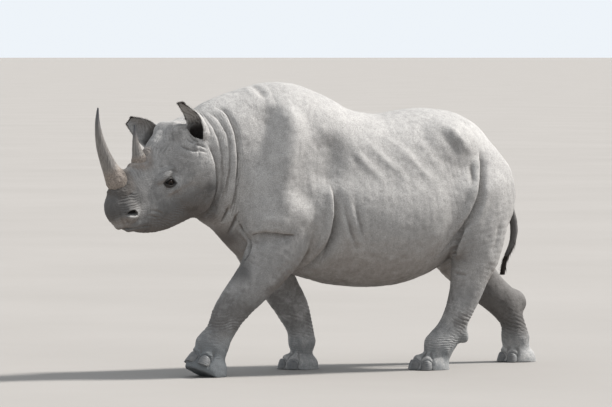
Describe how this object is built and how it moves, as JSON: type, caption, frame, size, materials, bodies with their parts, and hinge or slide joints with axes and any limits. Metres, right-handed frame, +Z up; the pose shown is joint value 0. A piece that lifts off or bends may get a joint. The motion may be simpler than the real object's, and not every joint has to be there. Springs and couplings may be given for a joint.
{
  "type": "black rhinoceros",
  "caption": "Life-size still figure of an adult black rhinoceros in mid-stride, head turned a little to its left, standing free on its own soles.",
  "frame": {"origin": "centre of the bounding box's footprint, on the level of the soles", "axes": "+Z up, the muzzle points along -Y, and the animal's left side is +X"},
  "size_m": [0.8014, 2.8714, 1.5891],
  "materials": {
    "skin": "matt hide with dust, folded and finely wrinkled",
    "horn": "fibrous keratin, satin at the tip and rough at the foot",
    "nail": "worn keratin, satin",
    "eye": "wet, clear and dark brown",
    "hair": "coarse bristle"
  },
  "bodies": {
    "root": {"head": "skin", "lower_jaw": "skin", "ear_left": "skin", "ear_right": "skin", "neck": "skin", "shoulders": "skin", "barrel": "skin", "hindquarters": "skin", "tail": "skin", "forearm_left": "skin", "fore_cannon_left": "skin", "forefoot_left": "skin", "thigh_left": "skin", "shank_left": "skin", "hind_cannon_left": "skin", "hindfoot_left": "skin", "forearm_right": "skin", "fore_cannon_right": "skin", "forefoot_right": "skin", "thigh_right": "skin", "shank_right": "skin", "hind_cannon_right": "skin", "hindfoot_right": "skin", "horn_front": "horn", "horn_rear": "horn", "eye_left": "eye", "eye_right": "eye", "tail_tuft": "hair", "nail_fore_left_inner": "nail", "nail_fore_left_middle": "nail", "nail_fore_left_outer": "nail", "nail_fore_right_inner": "nail", "nail_fore_right_middle": "nail", "nail_fore_right_outer": "nail", "nail_hind_left_inner": "nail", "nail_hind_left_middle": "nail", "nail_hind_left_outer": "nail", "nail_hind_right_inner": "nail", "nail_hind_right_middle": "nail", "nail_hind_right_outer": "nail"}
  },
  "joints": []
}
